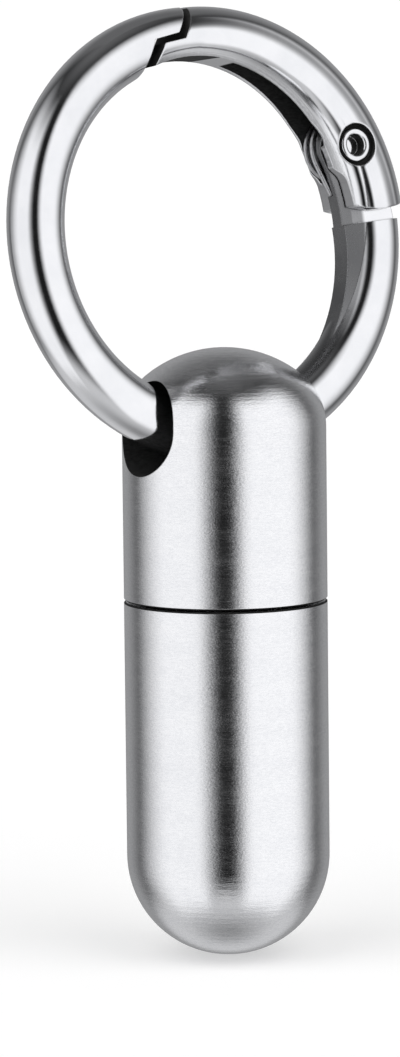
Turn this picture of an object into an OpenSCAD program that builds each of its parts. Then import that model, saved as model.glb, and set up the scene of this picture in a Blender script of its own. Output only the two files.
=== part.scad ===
// Pill fob keychain: a two-part screw capsule that hangs on a round spring-gate ring.
// The row frame has +Z up and its origin where a hook carries the ring, inside the top of
// the ring. The capsule hangs straight down and the ring leans back from it about X.

/* [Capsule] */
// Outside diameter of the capsule
capsule_d = 15; // [13:0.5:20]
// Length of the upper cap, from the seam to the crown
cap_len = 18.5; // [17:0.5:24]
// Length of the pill tube, from the seam to its round bottom
tube_len = 26.5; // [18:0.5:50]
// Height of the flattened dome on the cap
dome_h = 5.8; // [5:0.1:6.6]
// Radius of the dome's shoulder, where it meets the straight side
dome_shoulder_r = 4.9; // [3:0.1:4.9]
// Gap between the cap's rim and the tube's shoulder when screwed home
seam_gap = 0.12; // [0.05:0.01:0.3]
// Width of the small chamfers on both sides of the seam
seam_chamfer = 0.12; // [0.05:0.01:0.3]

/* [Thread and seal] */
// Wall of the cap outside the thread
cap_wall = 1.45; // [1:0.05:2]
// Depth of the thread between its root and its crest
thread_depth = 0.6; // [0.4:0.05:0.8]
// Wall of the threaded neck inside the thread
neck_wall = 0.8; // [0.6:0.05:1.2]
// Length of the threaded neck above the tube's shoulder
neck_len = 5; // [3:0.5:6.5]
// Room left above the neck inside the cap
neck_headroom = 0.8; // [0.3:0.1:1.2]
// Thickness of the seal ring's cord
seal_d = 0.9; // [0.7:0.05:1.2]
// Clearance round the seal ring in its seat
seal_play = 0.03; // [0.02:0.01:0.08]
// Metal left under the pill cavity
cavity_floor = 2.9; // [1.5:0.1:5]

/* [Ring] */
// Inside diameter of the ring
ring_id = 25; // [22:0.5:36]
// Thickness of the ring's wire
wire_d = 4.2; // [3.6:0.1:4.6]
// Distance from the seam up to the cross-hole that carries the ring
hole_height = 12.9; // [12:0.1:13.4]
// Clearance round the wire in the cross-hole at any swing of the capsule
hole_play = 0.315; // [0.2:0.005:0.6]
// How much higher than centred the wire stands in the cross-hole
wire_lift = 0.43; // [0:0.01:0.5]
// Lean of the ring back from the hanging capsule, in degrees
ring_lean = 8.5; // [0:0.5:15]

/* [Gate hinge] */
// Angle of the hinge rivet round the ring, from the X side
rivet_angle = 25.2; // [20:0.2:30]
// How far the rivet lies inside the middle of the wire
rivet_inset = 0.62; // [0.3:0.02:0.9]
// Diameter of the rivet's shank
rivet_d = 1.9; // [1.6:0.1:2]
// Diameter of the rivet's rolled heads
rivet_head_d = 2.6; // [2.4:0.1:2.8]
// Height of the rivet's rolled heads
rivet_head_h = 0.4; // [0.3:0.05:0.6]
// Diameter of the blind hole in each rivet head
rivet_bore_d = 1.5; // [1:0.1:1.5]
// Depth of the blind hole in each rivet head
rivet_bore_depth = 1; // [0.6:0.1:1.4]
// Diameter of the recess round each rivet head
recess_d = 3.2; // [3:0.1:3.5]
// Running clearance of the gate and the knuckle on the rivet
rivet_play = 0.03; // [0.01:0.01:0.08]

/* [Gate] */
// How far the gate stands proud of the ring's outline at the hinge
gate_proud = 0.6; // [0.3:0.05:0.9]
// Thickness of the gate's rounded back at the hinge
gate_back = 0.9; // [0.6:0.05:1.2]
// How far the gate is thicker than the wire, over its radius
gate_swell = 0.1; // [0:0.02:0.2]
// Depth of the flattened inside of the gate at the hinge, inwards of the wire
gate_keel = 0.75; // [0.5:0.05:0.9]
// Half width of the channel in the gate beside the hinge
channel_half_w = 1.45; // [1.2:0.05:1.5]
// Half width of the channel in the gate at its nose end
channel_nose_half_w = 0.7; // [0.5:0.05:0.9]
// Angle round the ring at which the channel ends before the nose
channel_end_angle = 76; // [70:0.5:78]
// Angle round the ring of the middle of the gate's tail
tail_angle = 4.4; // [3.6:0.2:6]
// Gap between the gate's nose and the ring's end
nose_gap = 0.5; // [0.3:0.05:0.7]

/* [Tongue] */
// Angle round the ring of the shoulder where the tongue starts
shoulder_angle = 0.8; // [-1:0.2:1.6]
// Thickness of the tongue on the back half of the ring
tongue_back_t = 0.65; // [0.5:0.05:0.8]
// Thickness of the tongue on the front half of the ring
tongue_front_t = 0.85; // [0.75:0.05:0.95]
// Side clearance between the tongue and the gate's cheeks
tongue_play = 0.06; // [0.04:0.01:0.1]
// Radius of the tongue's round knuckle at the rivet
knuckle_r = 2.3; // [2:0.05:2.35]
// Distance from the rivet to the tongue's end face, where the spring's leg rests
tongue_end = 2.75; // [2.7:0.05:3.4]
// Half width of the flat inside face of the ring below the gate
flat_half_w = 0.85; // [0.7:0.05:1]
// Angle by which the flat inside face runs out into the round wire
flat_end_angle = 38; // [30:1:42]

/* [Gate spring] */
// Thickness of the spring wire
spring_d = 0.4; // [0.3:0.02:0.44]
// Distance between two turns of the spring
spring_pitch = 0.84; // [0.82:0.01:0.9]
// Radius of the spring's turns at the middle of its wire
spring_r = 2.3; // [2.2:0.05:2.35]
// How far the spring's turns sit inwards of the rivet
spring_offset = 0.15; // [0:0.05:0.2]
// Clearance between the spring and the parts beside it
spring_play = 0.1; // [0.05:0.01:0.12]
// Radius of the hub that the spring sits on
hub_r = 1.8; // [1.6:0.05:1.85]

/* [Hidden] */
$fn = 96;
steel = [0.78, 0.79, 0.80];
chrome = [0.62, 0.63, 0.65];
rubber = [0.08, 0.08, 0.09];
over = 1;

// Ring and cross-hole
wire_r = wire_d / 2;
ring_r = ring_id / 2 + wire_r;
capsule_r = capsule_d / 2;
wire_rise = ring_r - sqrt(ring_r * ring_r - capsule_r * capsule_r);
hole_r = wire_r + wire_rise / 2 + hole_play;
wire_sink = wire_rise / 2 - wire_lift;
ring_up = ring_r - wire_sink;
eye_up = ring_up + ring_r - wire_r;

// Thread, seal and cavity
bore_r = capsule_r - cap_wall;
neck_r = bore_r - seal_play - thread_depth;
cavity_r = neck_r - neck_wall;
bore_depth = neck_len + neck_headroom - seam_gap;
seal_r = seal_d / 2;
seal_mid_r = neck_r + seal_play + seal_r;
seat_r = seal_mid_r + seal_r + 2 * seal_play;
seat_depth = seal_d + 2 * seal_play - seam_gap;
tube_side = tube_len - capsule_r;
cavity_side = tube_len - cavity_floor - cavity_r;

// Gate, seen in the plane of the ring
rivet_at = polar(ring_r - rivet_inset, rivet_angle);
gate_r = ring_r - 0.5;
gate_shift = 1;
gate_at = polar(gate_shift, rivet_angle);
gate_wire_r = wire_r + gate_swell;

// The flattened inside of the gate follows a round face at the hinge and a second one
// towards the nose, and a boss round the rivet stands out of it. The flattened inside of
// the ring's body follows a third face.
hinge_flat_r = ring_r - wire_r - gate_keel + 0.3;
boss_r = knuckle_r + 0.22;
boss_fillet_r = 1.5;
nose_flat_at = polar(1.55, 103);
nose_flat_r = ring_r - wire_r - gate_keel - 0.33;
gate_inner_lift = 1.5;
body_flat_at = [-0.89, -1.16];
body_flat_r = ring_r - wire_r - gate_keel + 0.94;

// Hinge, from the back of the ring (negative) to its front (positive).
tongue_inner_r = ring_r - wire_r - gate_keel - 0.01;
plate_back = 0;
spring_front = plate_back - spring_play - spring_d / 2;
spring_back = spring_front - spring_pitch;
spring_at = polar(-spring_offset, rivet_angle);
pocket_back = spring_back - spring_d / 2 - spring_play;
pocket_front = tongue_front_t + tongue_play;
pocket_r = spring_r + spring_d / 2 + spring_play;
rivet_half = gate_wire_r - 0.12;
head_seat = rivet_half - rivet_head_h;
shoulder_y = ring_r * sin(shoulder_angle);
tail_y = ring_r * sin(tail_angle);
tail_r = 8;

function polar(r, a) = [r * cos(a), r * sin(a)];
function arc(c, r, a0, a1, n) =
    [for (i = [0:n]) c + r * [cos(a0 + (a1 - a0) * i / n), sin(a0 + (a1 - a0) * i / n)]];

// Puts the capsule, built from its seam, into the row frame.
module capsule_frame() {
    translate([0, -eye_up * sin(ring_lean), -hole_height - eye_up * cos(ring_lean)]) children();
}

// Puts the ring, built flat in XY with its front on +Z, into the row frame.
module ring_frame() {
    rotate([90 - ring_lean, 0, 0]) translate([0, ring_up - eye_up, 0]) children();
}

// A flat piece in the plane of the ring, between two heights from back to front.
module slab(back, front) {
    translate([0, 0, back]) linear_extrude(height = front - back) children();
}

// Outline of the cap's outside: straight side, shoulder arc and crown arc.
module cap_outline() {
    crown_r = (capsule_r * capsule_r - 2 * capsule_r * dome_shoulder_r + dome_h * dome_h)
        / (2 * (dome_h - dome_shoulder_r));
    side_top = cap_len - dome_h;
    shoulder_at = [capsule_r - dome_shoulder_r, side_top];
    crown_at = [0, cap_len - crown_r];
    meet = atan2(shoulder_at[1] - crown_at[1], shoulder_at[0]);
    polygon(concat([[0, 0], [capsule_r - seam_chamfer, 0], [capsule_r, seam_chamfer]],
        arc(shoulder_at, dome_shoulder_r, 0, meet, 14),
        [for (i = [1:11]) crown_at + polar(crown_r, meet + (90 - meet) * i / 12)],
        [[0, cap_len]]));
}

module pill_cap() {
    color(steel) capsule_frame() difference() {
        rotate_extrude() cap_outline();
        translate([0, 0, hole_height]) rotate([0, 90, 0])
            cylinder(r = hole_r, h = 2 * capsule_d, center = true);
        translate([0, 0, -over]) cylinder(r = bore_r, h = bore_depth + over);
        translate([0, 0, -over]) cylinder(r = seat_r, h = seat_depth + over);
    }
}

// Outline of the pill tube, turned about its axis: round bottom, shoulder and neck.
module tube_outline() {
    shoulder_z = -seam_gap;
    polygon(concat([[0, -tube_len]],
        [for (i = [1:24]) [0, -tube_side] + polar(capsule_r, -90 + 90 * i / 24)],
        [[capsule_r, shoulder_z - seam_chamfer], [capsule_r - seam_chamfer, shoulder_z],
         [neck_r, shoulder_z], [neck_r, neck_len - seam_gap - seam_chamfer],
         [neck_r - seam_chamfer, neck_len - seam_gap],
         [cavity_r, neck_len - seam_gap]],
        [for (i = [0:11]) [0, -cavity_side] + polar(cavity_r, -90 * i / 12)],
        [[0, -cavity_side - cavity_r]]));
}

module pill_tube() {
    color(steel) capsule_frame() rotate_extrude() tube_outline();
}

module seal_ring() {
    color(rubber) capsule_frame() translate([0, 0, seal_play + seal_r - seam_gap])
        rotate_extrude() translate([seal_mid_r, 0]) circle(r = seal_r);
}

// Z-shaped cut of the half lap at the nose, seen from the front of the ring. The gate's
// side of the cut is removed from the ring's body.
module body_nose_cut() {
    polygon([polar(ring_r + 2 * wire_r, 84), polar(ring_r + 1.5 * wire_r, 90.5),
        polar(ring_r + nose_gap / 3, 98.2), polar(ring_r + nose_gap / 3, 106.6),
        polar(ring_r - wire_r, 114.5), polar(ring_r - 2 * wire_r, 118),
        polar(ring_r - 2 * wire_r, 84)]);
}

// The ring's side of the same cut, removed from the gate.
module gate_nose_cut() {
    polygon([polar(ring_r + 2 * wire_r, 128), polar(ring_r + 2 * wire_r, 88.6),
        polar(ring_r + wire_r, 91.2), polar(ring_r - 2 * nose_gap / 3, 96.6),
        polar(ring_r - 2 * nose_gap / 3, 104), polar(ring_r - wire_r, 111.4),
        polar(ring_r - 2 * wire_r, 114), polar(ring_r - 2 * wire_r, 128)]);
}

// Everything above the shoulder, where the wire gives way to the tongue.
module above_shoulder() {
    slab(-wire_d, wire_d)
        polygon([[ring_r - 3 * wire_r, shoulder_y - 0.38], [ring_r + 2 * wire_r, shoulder_y + 0.38],
            [ring_r + 2 * wire_r, ring_r / 2], [ring_r - 3 * wire_r, ring_r / 2]]);
}

// The round wire of the ring, from the nose round to the shoulder.
module body_wire() {
    difference() {
        rotate([0, 0, 86]) rotate_extrude(angle = 279)
            translate([ring_r, 0]) circle(r = wire_r);
        slab(-wire_d, wire_d) body_nose_cut();
        above_shoulder();
    }
}

// The part of the wire with a flattened inside, which fades into the round wire.
module body_keel() {
    difference() {
        translate(body_flat_at) rotate([0, 0, -flat_end_angle])
            rotate_extrude(angle = flat_end_angle + 12)
            polygon([[body_flat_r, -flat_half_w], [body_flat_r + wire_r, 0.2 - wire_r],
                [body_flat_r + wire_r, wire_r - 0.2], [body_flat_r, flat_half_w]]);
        above_shoulder();
    }
}

// Outline of the tongue, from inside the ring's body up to the rivet.
module tongue_outline() {
    outer = ring_r + wire_r + gate_proud - gate_back - 0.15;
    polygon(concat([polar(ring_r - 0.4 * wire_r, -6), polar(tongue_inner_r + 0.25, -1)],
        arc([0, 0], tongue_inner_r, 0.4, rivet_angle - 3, 8),
        arc(rivet_at, knuckle_r, 190, 20, 16),
        [polar(outer, rivet_angle - 8), polar(outer, 1), polar(ring_r + 0.4 * wire_r, -6)]));
}

// Everything nearer to the rivet than the tongue's end face, seen along the ring.
module beside_rivet() {
    translate(rivet_at) rotate([0, 0, rivet_angle])
        translate([-2 * wire_d, -tongue_end]) square([4 * wire_d, 4 * tongue_end]);
}

module tongue() {
    difference() {
        slab(-tongue_back_t, tongue_front_t) tongue_outline();
        slab(-wire_d, plate_back) beside_rivet();
        rotate([0, 0, -10]) rotate_extrude(angle = rivet_angle + 30)
            polygon([[tongue_inner_r - 1, tongue_front_t - 0.8],
                [tongue_inner_r - 1, tongue_front_t + 1],
                [tongue_inner_r + 0.77, tongue_front_t + 1],
                [tongue_inner_r + 0.77, tongue_front_t]]);
    }
    translate([rivet_at[0], rivet_at[1], pocket_back + spring_play])
        cylinder(r = hub_r, h = tongue_front_t - pocket_back - spring_play);
}

module ring_body() {
    color(chrome) ring_frame() difference() {
        union() {
            body_wire();
            body_keel();
            tongue();
        }
        translate([rivet_at[0], rivet_at[1], -wire_d])
            cylinder(r = rivet_d / 2 + rivet_play, h = 2 * wire_d);
    }
}

// Planes that narrow from the hinge towards the nose, used to taper the gate.
module taper(hinge_half_w, nose_half_w) {
    reach = 17;
    behind = 6;
    step = (hinge_half_w - nose_half_w) * behind / reach;
    translate(rivet_at) rotate([0, 0, 147]) rotate([90, 0, 0]) translate([0, 0, -reach])
        linear_extrude(height = 2 * reach)
        polygon([[-behind, -hinge_half_w - step], [reach, -nose_half_w],
            [reach, nose_half_w], [-behind, hinge_half_w + step]]);
}

// Everything inside the gate's lips. A boss round the rivet is left standing, and a
// fillet on each side of it runs out into the lips.
module inside_lips() {
    rivet_r = ring_r - rivet_inset;
    fillet_at_r = hinge_flat_r - boss_fillet_r;
    aside = acos((fillet_at_r * fillet_at_r + rivet_r * rivet_r
        - (boss_r + boss_fillet_r) * (boss_r + boss_fillet_r)) / (2 * fillet_at_r * rivet_r));
    translate([0, 0, -wire_d]) difference() {
        cylinder(r = hinge_flat_r, h = 2 * wire_d);
        translate([rivet_at[0], rivet_at[1], -over]) cylinder(r = boss_r, h = 3 * wire_d);
        for (side = [-1, 1]) translate([0, 0, -over]) difference() {
            linear_extrude(height = 3 * wire_d)
                polygon([polar(fillet_at_r, rivet_angle + side * aside),
                    polar(hinge_flat_r + 0.5, rivet_angle + side * aside), rivet_at]);
            translate(polar(fillet_at_r, rivet_angle + side * aside)) translate([0, 0, -over])
                cylinder(r = boss_fillet_r + 0.002, h = 4 * wire_d);
        }
    }
    translate([nose_flat_at[0], nose_flat_at[1], -wire_d])
        cylinder(r = nose_flat_r, h = 2 * wire_d);
}

// The gate is one round bar from outside and a second one from inside, which come
// together at the nose, with a third between them.
module gate_blank() {
    inner_at = nose_flat_at;
    inner_r = nose_flat_r + gate_inner_lift;
    for (t = [0, 0.5, 1])
        translate(gate_at + t * (inner_at - gate_at)) rotate([0, 0, -20])
            rotate_extrude(angle = 140) translate([gate_r + t * (inner_r - gate_r), 0])
                circle(r = gate_wire_r - 0.02 * t);
}

// Channel along the gate, tapered towards the nose.
module gate_channel() {
    intersection() {
        slab(-wire_d, wire_d) difference() {
            polygon(concat([[0, 0]],
                arc([0, 0], ring_r + wire_d, rivet_angle + 5, channel_end_angle, 3)));
            web_side();
        }
        taper(channel_half_w + 0.1, channel_nose_half_w);
    }
}

// Everything outside the inner face of the gate's rounded back.
module web_side() {
    polygon(concat(arc(gate_at, gate_r + gate_wire_r - gate_back, -40, 140, 72),
        arc([0, 0], 2 * ring_r, 140, -40, 6)));
}

// Slot for the tongue and round pocket for the spring.
module gate_hinge_pocket() {
    slab(-tongue_back_t - tongue_play, pocket_front) difference() {
        polygon(concat([[0, -ring_r / 2]],
            arc([0, 0], ring_r + wire_d, -20, rivet_angle + 12, 6)));
        web_side();
    }
    translate([rivet_at[0] + spring_at[0], rivet_at[1] + spring_at[1], pocket_back])
        cylinder(r = pocket_r, h = pocket_front - pocket_back);
}

// Everything below the gate's rounded tail.
module below_tail() {
    difference() {
        slab(-wire_d, wire_d) translate([ring_r - 3 * wire_r, -ring_r / 2])
            square([5 * wire_r, ring_r / 2 + tail_y + 1]);
        translate([ring_r - 0.5, tail_y + tail_r, -2 * wire_d]) cylinder(r = tail_r, h = 4 * wire_d);
    }
}

module ring_gate() {
    color(chrome) ring_frame() difference() {
        gate_blank();
        inside_lips();
        slab(-wire_d, wire_d) gate_nose_cut();
        below_tail();
        gate_channel();
        gate_hinge_pocket();
        translate([rivet_at[0], rivet_at[1], -wire_d])
            cylinder(r = rivet_d / 2 + rivet_play, h = 2 * wire_d);
        for (side = [0, 1]) mirror([0, 0, side])
            translate([rivet_at[0], rivet_at[1], head_seat - rivet_play])
                cylinder(r = recess_d / 2, h = wire_d);
    }
}

// Outline of one half of the rivet, turned about its axis: shank, rolled head, blind hole.
module rivet_outline() {
    roll = (rivet_head_d - rivet_bore_d) / 4;
    middle = (rivet_head_d + rivet_bore_d) / 4;
    polygon(concat([[0, 0], [rivet_d / 2, 0], [rivet_d / 2, head_seat]],
        [[rivet_head_d / 2, head_seat]],
        [for (i = [0:8]) [middle, rivet_half - roll] + polar(roll, 180 * i / 8)],
        [[rivet_bore_d / 2, rivet_half - rivet_bore_depth], [0, rivet_half - rivet_bore_depth]]));
}

module gate_rivet() {
    color(chrome) ring_frame() translate(rivet_at)
        for (side = [0, 1]) mirror([0, 0, side]) rotate_extrude() rivet_outline();
}

// Middle line of the spring wire, seen from the rivet along the ring: X points outwards
// and Y towards the nose. The front leg runs straight down to the tongue's end face. One
// turn and a quarter follows, and the back leg meets the gate's back squarely.
function spring_path() = let(
    r = spring_r * 1.03,
    gate_centre = gate_shift - (ring_r - rivet_inset),
    web_inner_r = gate_r + gate_wire_r - gate_back,
    slope = asin((spring_r + 0.15) / web_inner_r),
    web_end = [gate_centre, 0] + (web_inner_r - 0.03) * [cos(slope), sin(slope)],
    web_start = web_end - 0.9 * [cos(slope), sin(slope)],
    foot = 0.03 - tongue_end)
    concat([[-spring_offset - r, foot, spring_front],
            [-spring_offset - r, foot + 2 * spring_d, spring_front]],
        [for (i = [0:10])
            [-spring_offset - r * cos(45 * i), r * sin(45 * i),
                spring_front - spring_pitch * min(1, max(0, (i - 2) / 6))]],
        [[web_start[0], web_start[1], spring_back], [web_end[0], web_end[1], spring_back]]);

// Points every tenth of the way along each straight piece of a path, with the length of
// wire up to each of them as a fourth value.
function length_to(path, n) = n == 0 ? 0 : length_to(path, n - 1) + norm(path[n] - path[n - 1]);
function along(path) = [for (i = [0:len(path) - 2]) for (k = [0:9])
    concat(path[i] + (path[i + 1] - path[i]) * k / 10,
        length_to(path, i) + norm(path[i + 1] - path[i]) * k / 10)];

// Least gap between two stretches of the wire that are over a quarter turn apart.
function least_gap(points, wire_d, apart) = min([for (a = points) for (b = points)
    if (b[3] - a[3] > apart) norm([b[0] - a[0], b[1] - a[1], b[2] - a[2]]) - wire_d]);

function unit(v) = v / norm(v);

// Rings of points round a path, kept from twisting by one fixed side direction.
function tube_points(path, r, sides) = [for (i = [0:len(path) - 1]) let(
    t = unit(path[min(i + 1, len(path) - 1)] - path[max(i - 1, 0)]),
    u = unit(cross([0, 0, 1], t)),
    v = cross(t, u))
    for (k = [0:sides - 1]) path[i] + r * (u * cos(360 * k / sides) + v * sin(360 * k / sides))];

function tube_faces(n, sides) = concat(
    [for (i = [0:n - 2]) for (k = [0:sides - 1])
        let(a = i * sides + k, b = i * sides + (k + 1) % sides)
        each [[a, a + sides, b], [b, a + sides, b + sides]]],
    [for (k = [1:sides - 2]) [0, k, k + 1]],
    [for (k = [1:sides - 2]) let(o = (n - 1) * sides) [o, o + k + 1, o + k]]);

module gate_spring() {
    path = spring_path();
    echo(spring_gap = least_gap(along(path), spring_d, spring_r * PI / 2));
    color(steel) ring_frame() translate(rivet_at) rotate([0, 0, rivet_angle])
        polyhedron(tube_points(path, spring_d / 2, 6), tube_faces(len(path), 6));
}

pill_cap();
pill_tube();
seal_ring();
ring_body();
ring_gate();
gate_rivet();
gate_spring();
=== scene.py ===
"""Dresses the pill fob keychain: steel and chrome materials, screw threads, a fine wire
spring, a pale floor with soft studio light, and the camera of the photo."""

import functools
import math

import bmesh
import bpy
import numpy as np
from mathutils import Matrix, Vector


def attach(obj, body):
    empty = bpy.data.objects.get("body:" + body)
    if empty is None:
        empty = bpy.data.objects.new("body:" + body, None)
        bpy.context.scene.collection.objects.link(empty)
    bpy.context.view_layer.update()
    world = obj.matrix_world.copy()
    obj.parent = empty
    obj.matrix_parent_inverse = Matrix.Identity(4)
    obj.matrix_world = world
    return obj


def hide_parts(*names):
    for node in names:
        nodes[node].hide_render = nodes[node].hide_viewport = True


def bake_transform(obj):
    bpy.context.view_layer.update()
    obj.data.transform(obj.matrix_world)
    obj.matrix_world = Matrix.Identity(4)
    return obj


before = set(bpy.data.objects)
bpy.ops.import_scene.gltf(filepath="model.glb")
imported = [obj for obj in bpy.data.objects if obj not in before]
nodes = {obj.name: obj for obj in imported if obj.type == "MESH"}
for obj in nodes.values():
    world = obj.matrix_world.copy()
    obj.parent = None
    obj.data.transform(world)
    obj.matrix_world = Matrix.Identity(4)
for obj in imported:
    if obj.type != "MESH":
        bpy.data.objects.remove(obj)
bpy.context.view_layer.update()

# Sizes of the model, in metres. The origin is the inside top of the ring.
LEAN = math.radians(8.5)          # lean of the ring, back from the hanging capsule
EYE_UP = 0.026493186              # origin above the cross-hole's middle, along the ring
RING_UP = 0.013993186             # middle of the ring above the cross-hole's middle
RING_R = 0.0146                   # middle line of the ring's wire
RIVET_ANGLE = math.radians(25.2)  # place of the hinge rivet round the ring
RIVET_OUT = 0.01398               # rivet from the middle of the ring
HOLE_UP = 0.0129                  # cross-hole's middle above the seam
TUBE_LEN = 0.0265                 # seam to the capsule's round bottom
FLOOR_GAP = 0.0002
CAPSULE_Y = -EYE_UP * math.sin(LEAN)
SEAM_Z = -HOLE_UP - EYE_UP * math.cos(LEAN)
FLOOR_Z = SEAM_Z - TUBE_LEN - FLOOR_GAP

# The row's frame is that of the CAD. In the ring's frame x and y lie in the plane of the
# ring and z points to its front. In the hinge's frame x points outwards from the rivet and
# y along the ring towards the nose. The capsule's frame stands on the seam.
RING_TO_ROW = (Matrix.Rotation(math.pi / 2 - LEAN, 4, "X")
               @ Matrix.Translation((0, RING_UP - EYE_UP, 0)))
ROW_TO_RING = RING_TO_ROW.inverted()
RIVET_AT = (RIVET_OUT * math.cos(RIVET_ANGLE), RIVET_OUT * math.sin(RIVET_ANGLE), 0)
HINGE_TO_ROW = (RING_TO_ROW @ Matrix.Translation(RIVET_AT)
                @ Matrix.Rotation(RIVET_ANGLE, 4, "Z"))
ROW_TO_HINGE = HINGE_TO_ROW.inverted()
CAPSULE_TO_ROW = Matrix.Translation((0, CAPSULE_Y, SEAM_Z))


# Nodes of the materials

EDGE = 0.00009       # radius of the soft edges of steel and chrome
CREVICE = 0.0003     # reach of the painted shade in crevices
RAY_SAMPLES = 6      # of the Bevel and Ambient Occlusion nodes
NOISE_SPAN = (0.3, 0.7)
MIX_DARK, MIX_LIGHT, MIX_RESULT = 6, 7, 2    # the Mix node's colour sockets


def node(tree, kind, **values):
    """A new node with its inputs, or else its own settings, set by name."""
    made = tree.nodes.new(kind)
    for key, value in values.items():
        if key in made.inputs:
            made.inputs[key].default_value = value
        else:
            setattr(made, key, value)
    return made


def new_material(name):
    """A material with one Principled shader, its node tree, and the shader."""
    mat = bpy.data.materials.new(name)
    mat.use_nodes = True
    tree = mat.node_tree
    tree.nodes.clear()
    out = tree.nodes.new("ShaderNodeOutputMaterial")
    shader = tree.nodes.new("ShaderNodeBsdfPrincipled")
    tree.links.new(shader.outputs["BSDF"], out.inputs["Surface"])
    return mat, tree, shader


def calc(tree, how, a, b):
    """One Math node. Each term is a number or a socket."""
    made = node(tree, "ShaderNodeMath", operation=how)
    for k, value in enumerate((a, b)):
        if isinstance(value, (int, float)):
            made.inputs[k].default_value = value
        else:
            tree.links.new(value, made.inputs[k])
    return made.outputs[0]


def plus(tree, *terms):
    return functools.reduce(lambda a, b: calc(tree, "ADD", a, b), terms)


def times(tree, *terms):
    return functools.reduce(lambda a, b: calc(tree, "MULTIPLY", a, b), terms)


def largest(tree, *terms):
    return functools.reduce(lambda a, b: calc(tree, "MAXIMUM", a, b), terms)


def length(tree, x, y):
    return calc(tree, "POWER", plus(tree, times(tree, x, x), times(tree, y, y)), 0.5)


def ramp(tree, value, result, span=NOISE_SPAN, how="LINEAR"):
    """Takes a value from the span to the result, and holds it at both ends."""
    made = node(tree, "ShaderNodeMapRange", interpolation_type=how)
    for key, number in zip(("From Min", "From Max", "To Min", "To Max"), (*span, *result)):
        made.inputs[key].default_value = number
    tree.links.new(value, made.inputs["Value"])
    return made.outputs["Result"]


def smooth(tree, value, span, result=(0, 1)):
    """As ramp, with a soft start and a soft end."""
    return ramp(tree, value, result, span, "SMOOTHSTEP")


def colour_mix(tree, value, dark, light):
    """A colour between dark and light. Each of them is a colour or a socket."""
    made = node(tree, "ShaderNodeMix", data_type="RGBA")
    for slot, colour in ((MIX_DARK, dark), (MIX_LIGHT, light)):
        if isinstance(colour, tuple):
            made.inputs[slot].default_value = (*colour, 1)
        else:
            tree.links.new(colour, made.inputs[slot])
    tree.links.new(value, made.inputs[0])
    return made.outputs[MIX_RESULT]


def placed(tree, **values):
    """Object coordinates through a Mapping node."""
    coords = tree.nodes.new("ShaderNodeTexCoord")
    mapping = node(tree, "ShaderNodeMapping", **values)
    tree.links.new(coords.outputs["Object"], mapping.inputs["Vector"])
    return mapping.outputs["Vector"]


def split(tree, vector):
    parts = tree.nodes.new("ShaderNodeSeparateXYZ")
    tree.links.new(vector, parts.inputs[0])
    return tuple(parts.outputs)


def noise(tree, scale, detail=3.0, roughness=0.6, turn=(0, 0, 0)):
    """Noise with so many grains to the metre along each axis."""
    made = node(tree, "ShaderNodeTexNoise", Scale=1.0, Detail=detail, Roughness=roughness)
    tree.links.new(placed(tree, Scale=scale, Rotation=turn), made.inputs["Vector"])
    return made.outputs["Fac"]


def ring_coords(tree):
    """Distance outwards from the wire's middle line, and x and y in the ring's frame."""
    x, y, _ = split(tree, placed(tree, Location=ROW_TO_RING.translation,
                                 Rotation=ROW_TO_RING.to_euler()))
    return plus(tree, length(tree, x, y), -RING_R), x, y


def finish(tree, shader, colour, gloss, metallic):
    tree.links.new(colour, shader.inputs["Base Color"])
    tree.links.new(gloss, shader.inputs["Roughness"])
    shader.inputs["Metallic"].default_value = metallic


def bump(tree, shader, height, depth, edge=0.0, form=None):
    """Fine relief of a depth in metres. It lies on the form, a height in metres, and that
    lies on soft edges, where they are given."""
    fine = last = node(tree, "ShaderNodeBump", Strength=1.0, Distance=depth)
    tree.links.new(height, fine.inputs["Height"])
    if form is not None:
        last = node(tree, "ShaderNodeBump", Strength=1.0, Distance=1.0)
        tree.links.new(form, last.inputs["Height"])
        tree.links.new(last.outputs["Normal"], fine.inputs["Normal"])
    if edge:
        soft = node(tree, "ShaderNodeBevel", samples=RAY_SAMPLES, Radius=edge)
        tree.links.new(soft.outputs["Normal"], last.inputs["Normal"])
    tree.links.new(fine.outputs["Normal"], shader.inputs["Normal"])


# Materials

def brushed_steel(name, edge=EDGE):
    """Steel turned in a lathe and brushed round the capsule, with a fine sparkling grain."""
    mat, tree, shader = new_material(name)
    lines = noise(tree, (1500, 1500, 12000), roughness=0.62)
    grain = noise(tree, (5500, 5500, 11000), detail=2.0)
    patches = noise(tree, (170, 170, 700))
    tone = plus(tree, times(tree, lines, 0.4), times(tree, grain, 0.4), times(tree, patches, 0.2))
    colour = colour_mix(tree, ramp(tree, tone, (0, 1), (0.38, 0.60)),
                        (0.84, 0.845, 0.86), (0.995, 0.995, 1.0))
    gloss = ramp(tree, plus(tree, lines, patches), (0.14, 0.21), (0.8, 1.2))
    finish(tree, shader, colour, gloss, 1.0)
    bump(tree, shader, plus(tree, lines, times(tree, grain, 0.7)), 0.0000105, edge)
    return mat


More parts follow.
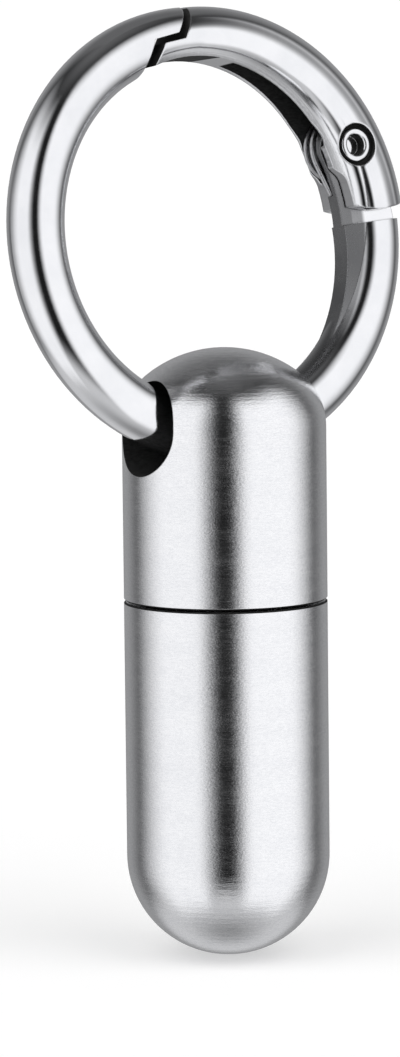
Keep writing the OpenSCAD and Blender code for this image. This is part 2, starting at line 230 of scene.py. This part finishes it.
def polished_chrome(name, edge=EDGE, form=None, shade_mask_of=None):
    """Polished plating with faint wiping marks and pin scratches, and painted shade that darkens
    its crevices. Where the given mask of painted shade is 1, it is darker (painted shade) and
    less glossy."""
    mat, tree, shader = new_material(name)
    marks = noise(tree, (260, 260, 260), detail=4.0)
    pins = noise(tree, (5200, 900, 2600), roughness=0.7, turn=(0.3, 0.2, 0.5))
    unshaded_colour = colour_mix(tree, ramp(tree, marks, (0, 1)), (0.86, 0.865, 0.88), (0.95, 0.95, 0.96))
    # Painted shade: the Ambient Occlusion node takes the colour towards near black in crevices.
    crevice_occlusion = node(tree, "ShaderNodeAmbientOcclusion", samples=RAY_SAMPLES, Distance=CREVICE)
    light = ramp(tree, crevice_occlusion.outputs["AO"], (0, 1), (0.30, 0.66))
    gloss = ramp(tree, plus(tree, marks, pins), (0.07, 0.13), (0.8, 1.25))
    # Painted shade: where the mask is 1 the colour is darker, and the roughness is higher.
    if shade_mask_of:
        shade_mask = shade_mask_of(tree)
        light = times(tree, light, calc(tree, "SUBTRACT", 1.0, times(tree, shade_mask, 0.66)))
        gloss = plus(tree, gloss, times(tree, shade_mask, 0.16))
    finish(tree, shader, colour_mix(tree, light, (0.03, 0.03, 0.032), unshaded_colour), gloss, 1.0)
    bump(tree, shader, pins, 0.0000006, edge, form(tree) if form else None)
    return mat


def painted_shade_inside(tree):
    """Mask of painted shade: 1 on the tongue and on the inner side of the ring next to it, under
    and beside the gate.
    """
    out, x, y = ring_coords(tree)
    at_hinge = smooth(tree, x, (0.006, 0.008))
    keel = times(tree, smooth(tree, out, (-0.00140, -0.00162)), smooth(tree, x, (0.001, 0.005)))
    tongue = times(tree, smooth(tree, y, (0.0016, 0.0026)), at_hinge)
    root = times(tree, smooth(tree, out, (-0.0009, -0.0013)), at_hinge,
                 smooth(tree, y, (0.0001, 0.0003)))
    return largest(tree, keel, tongue, root)


def crown(tree):
    """Height that rounds off the flat front of the gate's bar: a parabola on its inner
    half and a soft step on its outer half."""
    out = ring_coords(tree)[0]
    inner = calc(tree, "MINIMUM", out, 0.0)
    return plus(tree, smooth(tree, out, (0, 0.0011), (0, -0.00018)),
                times(tree, inner, inner, -240.0))


def grained(name, scale, tones, gloss, depth, detail=3.0, roughness=0.6, metallic=0.0,
            specular=0.5):
    """A plain material whose tone, gloss and relief follow one grain."""
    mat, tree, shader = new_material(name)
    grain = noise(tree, scale, detail, roughness)
    finish(tree, shader, colour_mix(tree, ramp(tree, grain, (0, 1)), *tones),
           ramp(tree, grain, gloss), metallic)
    bump(tree, shader, grain, depth)
    shader.inputs["Specular IOR Level"].default_value = specular
    return mat


def painted_shade_steel(name, light):
    """Painted shade: near-black steel for inside faces, holes, cut faces and grooves, with the
    tool's marks.
    """
    return grained(name, (2600, 2600, 7000), ((light * 0.4,) * 3, (light,) * 3), (0.45, 0.7),
                   0.000008, specular=0.1)


def spring_wire(name):
    """Drawn spring wire, oiled and rather dark."""
    return grained(name, (3000, 3000, 3000), ((0.48, 0.48, 0.49), (0.66, 0.66, 0.67)),
                   (0.25, 0.36), 0.0000004, metallic=1.0)


def seal_rubber(name):
    """Matte black rubber cord with a faint moulded grain."""
    return grained(name, (9000, 9000, 9000), ((0.012,) * 3, (0.03,) * 3), (0.5, 0.75),
                   0.000006, detail=2.0, roughness=0.5)


STEEL = brushed_steel("brushed_steel")
CHROME = polished_chrome("polished_chrome")
# The ring's chrome, with painted shade on the tongue and on its inner side near the hinge.
BODY_CHROME = polished_chrome("ring_chrome", shade_mask_of=painted_shade_inside)
GATE_CHROME = polished_chrome("gate_chrome", edge=0.00024, form=crown)
# Painted shade on the inside of the gate's channel: its back, side walls and end.
SHADE_CHANNEL = painted_shade_steel("painted_shade_channel", 0.05)
# Painted shade in the cross-hole, the rivet's recesses and bores, the rivet's shank, and the cut
# faces at the nose and under the gate's tail.
SHADE_HOLE = painted_shade_steel("painted_shade_hole", 0.04)
# Painted shade on the chamfers at the seam between cap and tube, so that the seam shows as a dark
# groove.
SHADE_GROOVE = painted_shade_steel("painted_shade_groove", 0.02)
WIRE = spring_wire("spring_wire")
RUBBER = seal_rubber("seal_rubber")


# Which faces of the CAD solids get which material. Lengths are in metres, each a little
# past or short of the surface that it tells apart from the rest.

HOLE_REACH = 0.00355                # wall of the cross-hole
NOSE_ANGLES = (84, 118)             # degrees round the ring
NOSE_CORE = 0.00198                 # inside the wire's round surface
SHOULDER_X, SHOULDER_HALF = 0.011, 0.001
BACK_OUT, BACK_HALF = 0.0135, 0.0017            # back of the gate's channel
CHEEK_OUT, CHEEK_HALF = 0.0166, 0.00165         # its side walls
END_OUT, END_HALF, END_X = 0.0128, 0.0015, 0.006    # its end towards the nose
RECESS_REACH, RECESS_FLOOR = 0.00161, 0.0015    # recess round a rivet head
BORE_REACH, HEAD_UNDERSIDE = 0.00078, 0.00182   # blind hole and shank of the rivet
CHAMFER_SLOPES = (0.3, 0.95)
CAP_CHAMFER, TUBE_CHAMFER = 0.00013, 0.00026    # from the seam


def dress(name, mats, pick=None):
    """Gives a CAD node its materials. pick returns the slot number for a face."""
    obj = nodes[name]
    obj.data.materials.clear()
    for mat in mats:
        obj.data.materials.append(mat)
    for face in obj.data.polygons:
        face.material_index = int(pick(face)) if pick else 0


def in_ring_plane(face):
    """Middle and normal of a face in the ring's frame, and its distance from the axis."""
    mid = ROW_TO_RING @ face.center
    normal = ROW_TO_RING.to_3x3() @ face.normal
    return mid, normal, math.hypot(mid.x, mid.y)


def in_cap_hole(face):
    mid = face.center - Vector((0, CAPSULE_Y, SEAM_Z + HOLE_UP))
    inward = -(face.normal.y * mid.y + face.normal.z * mid.z)
    away = math.hypot(mid.y, mid.z)
    return away < HOLE_REACH and inward > 0.8 * away and abs(face.normal.x) < 0.3


def on_nose_cut(face):
    mid, normal, rho = in_ring_plane(face)
    angle = math.degrees(math.atan2(mid.y, mid.x))
    return (NOSE_ANGLES[0] < angle < NOSE_ANGLES[1] and abs(normal.z) < 0.05
            and math.hypot(rho - RING_R, mid.z) < NOSE_CORE)


def on_shoulder(face):
    mid, normal, _ = in_ring_plane(face)
    return normal.y > 0.8 and mid.x > SHOULDER_X and abs(mid.y) < SHOULDER_HALF


def in_gate_channel(face):
    mid, normal, rho = in_ring_plane(face)
    out = (normal.x * mid.x + normal.y * mid.y) / rho
    side = abs(mid.z)
    on_back = rho > BACK_OUT and side < BACK_HALF and out < -0.5
    on_cheek = (rho < CHEEK_OUT and side < CHEEK_HALF and abs(normal.z) > 0.5
                and normal.z * mid.z < 0)
    on_end = (rho > END_OUT and side < END_HALF and mid.x < END_X and normal.x > 0.5
              and abs(normal.z) < 0.5)
    return on_back or on_cheek or on_end


def in_recess(face):
    vertices = nodes["ring_gate"].data.vertices
    corners = [ROW_TO_HINGE @ vertices[v].co for v in face.vertices]
    return (abs(corners[0].z) > RECESS_FLOOR
            and all(math.hypot(c.x, c.y) < RECESS_REACH for c in corners))


def on_cap(face):
    """1 in the cross-hole, 2 on the chamfer at the seam."""
    if in_cap_hole(face):
        return 1
    slopes = CHAMFER_SLOPES[0] < -face.normal.z < CHAMFER_SLOPES[1]
    return 2 if face.center.z < SEAM_Z + CAP_CHAMFER and slopes else 0


def on_tube(face):
    """1 on the chamfer at the seam."""
    slopes = CHAMFER_SLOPES[0] < face.normal.z < CHAMFER_SLOPES[1]
    return face.center.z > SEAM_Z - TUBE_CHAMFER and slopes


def on_body(face):
    """1 on the cut faces at the nose and under the gate's tail."""
    return on_nose_cut(face) or on_shoulder(face)


def on_gate(face):
    """1 in the channel, 2 in the rivet's recesses and on the cut faces at the nose."""
    if in_recess(face) or on_nose_cut(face):
        return 2
    return in_gate_channel(face)


def on_rivet(face):
    """1 on the walls of the blind holes and on the shank."""
    mid = ROW_TO_HINGE @ face.center
    normal = ROW_TO_HINGE.to_3x3() @ face.normal
    beside = math.hypot(mid.x, mid.y) < BORE_REACH or abs(mid.z) < HEAD_UNDERSIDE
    return beside and abs(normal.z) <= 0.5


# In each list, every material after the first is painted shade.
dress("pill_cap", [STEEL, SHADE_HOLE, SHADE_GROOVE], on_cap)
dress("pill_tube", [STEEL, SHADE_GROOVE], on_tube)
dress("seal_ring", [RUBBER])
dress("ring_body", [BODY_CHROME, SHADE_HOLE], on_body)
dress("ring_gate", [GATE_CHROME, SHADE_CHANNEL, SHADE_HOLE], on_gate)
dress("gate_rivet", [CHROME, SHADE_HOLE], on_rivet)


# Pieces

def mesh_object(name, points, faces, mat, smooth_faces=True):
    mesh = bpy.data.meshes.new(name)
    mesh.from_pydata([tuple(p) for p in points], [], faces)
    mesh.materials.append(mat)
    mesh.update()
    if smooth_faces:
        mesh.shade_smooth()
    obj = bpy.data.objects.new(name, mesh)
    bpy.context.scene.collection.objects.link(obj)
    return obj


def wire_tube(path, radius, sides=16):
    """Rings of points round a path, and the faces between them."""
    points, faces = [], []
    side = None
    for i, p in enumerate(path):
        t = path[min(i + 1, len(path) - 1)] - path[max(i - 1, 0)]
        t /= np.linalg.norm(t)
        if side is None:
            side = np.cross((0, 0, 1.0), t)
        side = side - t * (side @ t)
        side /= np.linalg.norm(side)
        up = np.cross(t, side)
        for k in range(sides):
            a = 2 * math.pi * k / sides
            points.append(p + radius * (math.cos(a) * side + math.sin(a) * up))
        if i:
            for k in range(sides):
                a, b = (i - 1) * sides + k, (i - 1) * sides + (k + 1) % sides
                faces.append((a, b, b + sides, a + sides))
    faces.append(tuple(range(sides))[::-1])
    last = (len(path) - 1) * sides
    faces.append(tuple(range(last, last + sides)))
    return points, faces


def smooth_path(corners, step, passes=30):
    """Points along a polyline, evenly spaced, then relaxed so that its corners are round.
    Its ends stay straight."""
    pts = []
    for a, b in zip(corners[:-1], corners[1:]):
        a, b = np.array(a, float), np.array(b, float)
        n = max(1, int(round(np.linalg.norm(b - a) / step)))
        pts += [a + (b - a) * k / n for k in range(n)]
    pts = np.array(pts + [np.array(corners[-1], float)])
    for _ in range(passes):
        pts[3:-3] = (pts[2:-4] + 2 * pts[3:-3] + pts[4:-2]) / 4
    return pts


# The gate's spring in the hinge's frame, in metres, as the CAD solid that it stands for
SPRING_R = 0.0023                   # its turns, at the middle of the wire
SPRING_WIRE_R = 0.0002
SPRING_IN = 0.00015                 # its turns inwards of the rivet
SPRING_FRONT, SPRING_BACK = -0.0003, -0.00114
SPRING_SWEEP, SPRING_STEPS = 450, 100
CROSSING_FROM, CROSSING = 90, 270   # degrees over which the wire goes from front to back
LEG_GAP = 0.00003                   # between each leg's tip and the face that it rests on
TONGUE_END = 0.00275                # face under the front leg, below the rivet
FRONT_LEG_TOP = -0.0006
BACK_LEG = 0.0009                   # length of the leg on the gate's back
WEB_R = 0.0154                      # inner face of the gate's back
WEB_CENTRE = 0.001 - RIVET_OUT


def spring_corners():
    """Middle line of the spring's wire: front leg, a turn and a quarter, and back leg."""
    slope = math.asin((SPRING_R + SPRING_IN) / WEB_R)
    tip_r = WEB_R - LEG_GAP
    tip = np.array([WEB_CENTRE + tip_r * math.cos(slope), tip_r * math.sin(slope), SPRING_BACK])
    bend = tip - BACK_LEG * np.array([math.cos(slope), math.sin(slope), 0])
    leg_x = -SPRING_IN - SPRING_R
    pts = [(leg_x, LEG_GAP - TONGUE_END, SPRING_FRONT), (leg_x, FRONT_LEG_TOP, SPRING_FRONT)]
    for k in range(SPRING_STEPS + 1):
        turned = SPRING_SWEEP * k / SPRING_STEPS
        a = math.radians(turned)
        across = min(1, max(0, (turned - CROSSING_FROM) / CROSSING))
        pts.append((-SPRING_IN - SPRING_R * math.cos(a), SPRING_R * math.sin(a),
                    SPRING_FRONT + (SPRING_BACK - SPRING_FRONT) * across))
    return pts + [tuple(bend), tuple(tip)]


points, faces = wire_tube(smooth_path(spring_corners(), 0.00012), SPRING_WIRE_R)
spring = mesh_object("spring_wire_form", [HINGE_TO_ROW @ Vector(p) for p in points], faces, WIRE)
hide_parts("gate_spring")
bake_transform(spring)


# The screw threads, in the capsule's frame
PITCH = 0.001
LEAD_IN = 0.8               # turns over which a thread rises from nothing
STEPS_PER_TURN = 48
HALF_ROOT, HALF_CREST = 0.44 * PITCH, 0.09 * PITCH
BURY = 0.00004              # depth of the ridge's foot in the metal
LEAST_RISE = 0.02


def thread(name, root_r, crest_r, z_low, z_high):
    """A 60 degree thread ridge wound round the capsule's axis, fading at both ends."""
    points, faces = [], []
    turns = (z_high - z_low) / PITCH
    count = int(turns * STEPS_PER_TURN)
    outward = crest_r > root_r
    foot_r = root_r - (BURY if outward else -BURY)
    for i in range(count + 1):
        along = i / count * turns
        a = 2 * math.pi * along
        z = z_low + along * PITCH
        fade = min(1, along / LEAD_IN, (turns - along) / LEAD_IN)
        ridge_r = foot_r + (crest_r - foot_r) * max(LEAST_RISE, fade)
        for r, dz in ((foot_r, -HALF_ROOT), (ridge_r, -HALF_CREST), (ridge_r, HALF_CREST),
                      (foot_r, HALF_ROOT)):
            points.append(CAPSULE_TO_ROW @ Vector((r * math.cos(a), r * math.sin(a), z + dz)))
        if i:
            for k in range(3):
                b = (i - 1) * 4 + k
                face = (b, b + 4, b + 5, b + 1)
                faces.append(face if outward else face[::-1])
    last = 4 * count
    faces += [(0, 1, 2, 3), (last + 3, last + 2, last + 1, last)]
    return mesh_object(name, points, faces, THREAD_STEEL, smooth_faces=False)


THREAD_STEEL = brushed_steel("thread_steel", edge=0.00004)
male = thread("male_thread", 0.00542, 0.00595, 0.0013, 0.0044)
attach(male, "tube")
female = thread("female_thread", 0.00605, 0.00554, 0.0018, 0.0049)
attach(female, "cap")


# Stage: world, floor, a light tent that the metal reflects, lamps and camera

AXIS = Vector((0, CAPSULE_Y, 0))
CAMERA_AT = Vector((-0.2065, -0.3146, 0.0476)) + Vector((0, CAPSULE_Y, SEAM_Z))
CAMERA_SIDE = math.atan2(CAMERA_AT.y - CAPSULE_Y, CAMERA_AT.x)
DIM_SKY = 0.5               # light of the world on diffuse surfaces
FLOOR_GREY, FLOOR_GLOW = 0.62, 0.41
FLOOR_HALF = 30.0
TENT_RADIUS = 2.0

# The light tent, in degrees round from the camera's side, above and below. Each pair of
# angles is where the cloth begins to change and where it has changed.
RIGHT_OPENS, RIGHT_CLOSES, RIGHT_LEVEL = (5, 28), (76, 128), 1.0
LEFT_OPENS, LEFT_CLOSES, LEFT_LEVEL = (-6, -36), (-70, -132), 0.96
TOP_CLOSES, FOOT_CLOSES = (38, 68), (42, 80)
LEFT_TO_RIGHT = (-40, 40)
ABOVE, ABOVE_LEVEL = (50, 88), 0.10
BELOW, BELOW_LEVEL = (20, 46), 0.58
BELOW_FADES, BELOW_LEFT_OVER = (52, 92), 0.4
BEHIND, BEHIND_LEVEL = (98, 150), 0.30
BEHIND_FADES, BEHIND_LEFT_OVER = (15, 60), 0.4
LEAST_LEVEL = 0.012
CLOTH_COLOUR = (0.975, 0.98, 1.0, 1)

SUN_SIDE, SUN_HEIGHT, SUN_SIZE, SUN_STRENGTH = 50, 50, 50, 1.0    # angles in degrees

# The camera as fitted to the photo: angles in degrees and focal length in pixels
PAN, TILT, ROLL = 0.28 - 33.28, -6.433, 0.62
FOCAL_PIXELS, FRAME_HEIGHT = 5151.0, 1057
SENSOR = 36


def make_world():
    """White where the camera or a reflection sees it, and dim where it lights."""
    world = bpy.data.worlds.new("studio")
    bpy.context.scene.world = world
    world.use_nodes = True
    tree = world.node_tree
    tree.nodes.clear()
    out = tree.nodes.new("ShaderNodeOutputWorld")
    dim = node(tree, "ShaderNodeBackground", Color=(0.98, 0.985, 1.0, 1), Strength=DIM_SKY)
    white = node(tree, "ShaderNodeBackground", Color=(1, 1, 1, 1), Strength=1.0)
    ray = tree.nodes.new("ShaderNodeLightPath").outputs
    seen = largest(tree, ray["Is Camera Ray"], ray["Is Glossy Ray"], ray["Is Transmission Ray"])
    mix = tree.nodes.new("ShaderNodeMixShader")
    tree.links.new(seen, mix.inputs[0])
    tree.links.new(dim.outputs[0], mix.inputs[1])
    tree.links.new(white.outputs[0], mix.inputs[2])
    tree.links.new(mix.outputs[0], out.inputs["Surface"])


def make_floor():
    """A pale matte floor that glows a little for the camera only, so that it is white
    round the object's shadow."""
    mat, tree, shader = new_material("pale_floor")
    shader.inputs["Base Color"].default_value = (FLOOR_GREY, FLOOR_GREY, FLOOR_GREY, 1)
    shader.inputs["Roughness"].default_value = 0.8
    shader.inputs["Specular IOR Level"].default_value = 0.0
    out = next(n for n in tree.nodes if n.type == "OUTPUT_MATERIAL")
    light_path = tree.nodes.new("ShaderNodeLightPath")
    glow = node(tree, "ShaderNodeEmission", Color=(1, 1, 1, 1), Strength=FLOOR_GLOW)
    both = tree.nodes.new("ShaderNodeAddShader")
    mix = tree.nodes.new("ShaderNodeMixShader")
    tree.links.new(shader.outputs["BSDF"], both.inputs[0])
    tree.links.new(glow.outputs[0], both.inputs[1])
    tree.links.new(light_path.outputs["Is Camera Ray"], mix.inputs[0])
    tree.links.new(shader.outputs["BSDF"], mix.inputs[1])
    tree.links.new(both.outputs[0], mix.inputs[2])
    tree.links.new(mix.outputs[0], out.inputs["Surface"])
    corners = [(x * FLOOR_HALF, y * FLOOR_HALF, FLOOR_Z)
               for x, y in ((-1, -1), (1, -1), (1, 1), (-1, 1))]
    floor = mesh_object("floor", corners, [(0, 1, 2, 3)], mat, smooth_faces=False)
    floor.visible_glossy = False


def tent_material():
    """White cloth at both sides of the camera, dark behind the camera, and grey above,
    below and behind the object."""
    mat = bpy.data.materials.new("light_tent")
    mat.use_nodes = True
    tree = mat.node_tree
    tree.nodes.clear()
    out = tree.nodes.new("ShaderNodeOutputMaterial")
    coords = tree.nodes.new("ShaderNodeTexCoord")
    x, y, z = split(tree, coords.outputs["Object"])
    degrees = 180 / math.pi
    around = times(tree, calc(tree, "ARCTAN2", y, x), degrees)
    up = times(tree, calc(tree, "ARCTAN2", z, length(tree, x, y)), degrees)
    down = times(tree, up, -1.0)
    away = calc(tree, "ABSOLUTE", around, 0.0)

    right = times(tree, smooth(tree, around, RIGHT_OPENS),
                  smooth(tree, around, RIGHT_CLOSES, (1, 0)))
    left = times(tree, smooth(tree, around, LEFT_OPENS),
                 smooth(tree, around, LEFT_CLOSES, (1, 0)))
    window = times(tree, largest(tree, right, left),
                   smooth(tree, up, TOP_CLOSES, (1, 0)),
                   smooth(tree, down, FOOT_CLOSES, (1, 0)),
                   smooth(tree, around, LEFT_TO_RIGHT, (LEFT_LEVEL, RIGHT_LEVEL)))
    above = smooth(tree, up, ABOVE, (0, ABOVE_LEVEL))
    below = times(tree, smooth(tree, down, BELOW, (0, BELOW_LEVEL)),
                  smooth(tree, down, BELOW_FADES, (1, BELOW_LEFT_OVER)))
    behind = times(tree, smooth(tree, away, BEHIND, (0, BEHIND_LEVEL)),
                   smooth(tree, up, BEHIND_FADES, (1, BEHIND_LEFT_OVER)))
    level = plus(tree, largest(tree, window, plus(tree, above, below), behind), LEAST_LEVEL)
    cloth = node(tree, "ShaderNodeEmission", Color=CLOTH_COLOUR)
    tree.links.new(level, cloth.inputs["Strength"])
    tree.links.new(cloth.outputs[0], out.inputs["Surface"])
    return mat


def make_tent():
    """A large ball round the set. Only reflections see it."""
    mesh = bpy.data.meshes.new("light_tent")
    shape = bmesh.new()
    bmesh.ops.create_uvsphere(shape, u_segments=48, v_segments=24, radius=TENT_RADIUS)
    shape.to_mesh(mesh)
    shape.free()
    mesh.shade_smooth()
    mesh.materials.append(tent_material())
    tent = bpy.data.objects.new("light_tent", mesh)
    bpy.context.scene.collection.objects.link(tent)
    tent.location = (0, CAPSULE_Y, SEAM_Z)
    tent.rotation_euler = (0, 0, CAMERA_SIDE)
    tent.visible_camera = False
    tent.visible_diffuse = False
    tent.visible_shadow = False
    tent.visible_transmission = False


def soft_sun(name, azimuth):
    """A wide sun for diffuse light and the shadow. The azimuth is from the camera's side."""
    data = bpy.data.lights.new(name, "SUN")
    data.energy = SUN_STRENGTH
    data.angle = math.radians(SUN_SIZE)
    data.color = (1.0, 0.99, 0.98)
    lamp = bpy.data.objects.new(name, data)
    bpy.context.scene.collection.objects.link(lamp)
    a = CAMERA_SIDE + math.radians(azimuth)
    e = math.radians(SUN_HEIGHT)
    out = Vector((math.cos(a) * math.cos(e), math.sin(a) * math.cos(e), math.sin(e)))
    lamp.location = AXIS + 0.5 * out
    lamp.rotation_euler = (-out).to_track_quat("-Z", "Y").to_euler()
    lamp.visible_camera = False
    lamp.visible_glossy = False


def make_camera():
    data = bpy.data.cameras.new("camera")
    data.sensor_width = SENSOR
    data.lens = FOCAL_PIXELS / FRAME_HEIGHT * SENSOR
    data.clip_start = 0.01
    data.clip_end = 20
    cam = bpy.data.objects.new("camera", data)
    bpy.context.scene.collection.objects.link(cam)
    turn = (Matrix.Rotation(math.radians(PAN), 3, "Z")
            @ Matrix.Rotation(math.radians(TILT), 3, "X")
            @ Matrix.Rotation(math.radians(ROLL), 3, "Y"))
    right, ahead, up = turn.col
    cam.matrix_world = Matrix((
        (right.x, up.x, -ahead.x, CAMERA_AT.x),
        (right.y, up.y, -ahead.y, CAMERA_AT.y),
        (right.z, up.z, -ahead.z, CAMERA_AT.z),
        (0, 0, 0, 1)))
    bpy.context.scene.camera = cam


make_world()
make_floor()
make_tent()
soft_sun("sun_left", -SUN_SIDE)
soft_sun("sun_right", SUN_SIDE)
make_camera()
bpy.context.scene.view_settings.view_transform = "Standard"

bpy.context.view_layer.update()
